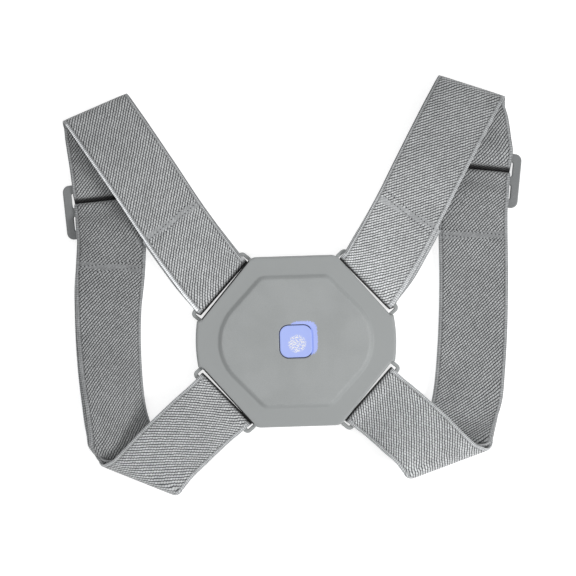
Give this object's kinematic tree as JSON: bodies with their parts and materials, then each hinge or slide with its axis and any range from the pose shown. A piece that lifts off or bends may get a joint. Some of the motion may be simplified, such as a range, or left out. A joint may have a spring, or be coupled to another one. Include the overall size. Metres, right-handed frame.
{
  "type": "posture corrector",
  "caption": "Back-worn posture sensor with a lit power button and two adjustable arm loops of elastic webbing.",
  "frame": {"origin": "middle of the device's flat back", "axes": "+Z out of the button, +Y towards the shoulders, +X to the right as one looks at the button"},
  "size_m": [0.2712, 0.2413, 0.0297],
  "materials": {
    "shell_plastic": "fine satin texture, soft touch",
    "plate_plastic": "fine satin texture",
    "button_light": "translucent, lit blue from behind",
    "webbing": "twill-woven elastic with plain selvedges",
    "slider_plastic": "satin moulded"
  },
  "bodies": {
    "harness": {"front_shell": "shell_plastic", "back_plate": "plate_plastic", "left_strap": "webbing", "right_strap": "webbing", "left_slider": "slider_plastic", "right_slider": "slider_plastic"},
    "button": {"power_button": "button_light"}
  },
  "joints": [
    {"name": "button_press", "type": "slide", "parent": "harness", "child": "button", "axis": [0, 0, -1], "range_m": [0, 0.0006], "stiffness_N_per_m": 450, "springref_m": -0.001}
  ]
}
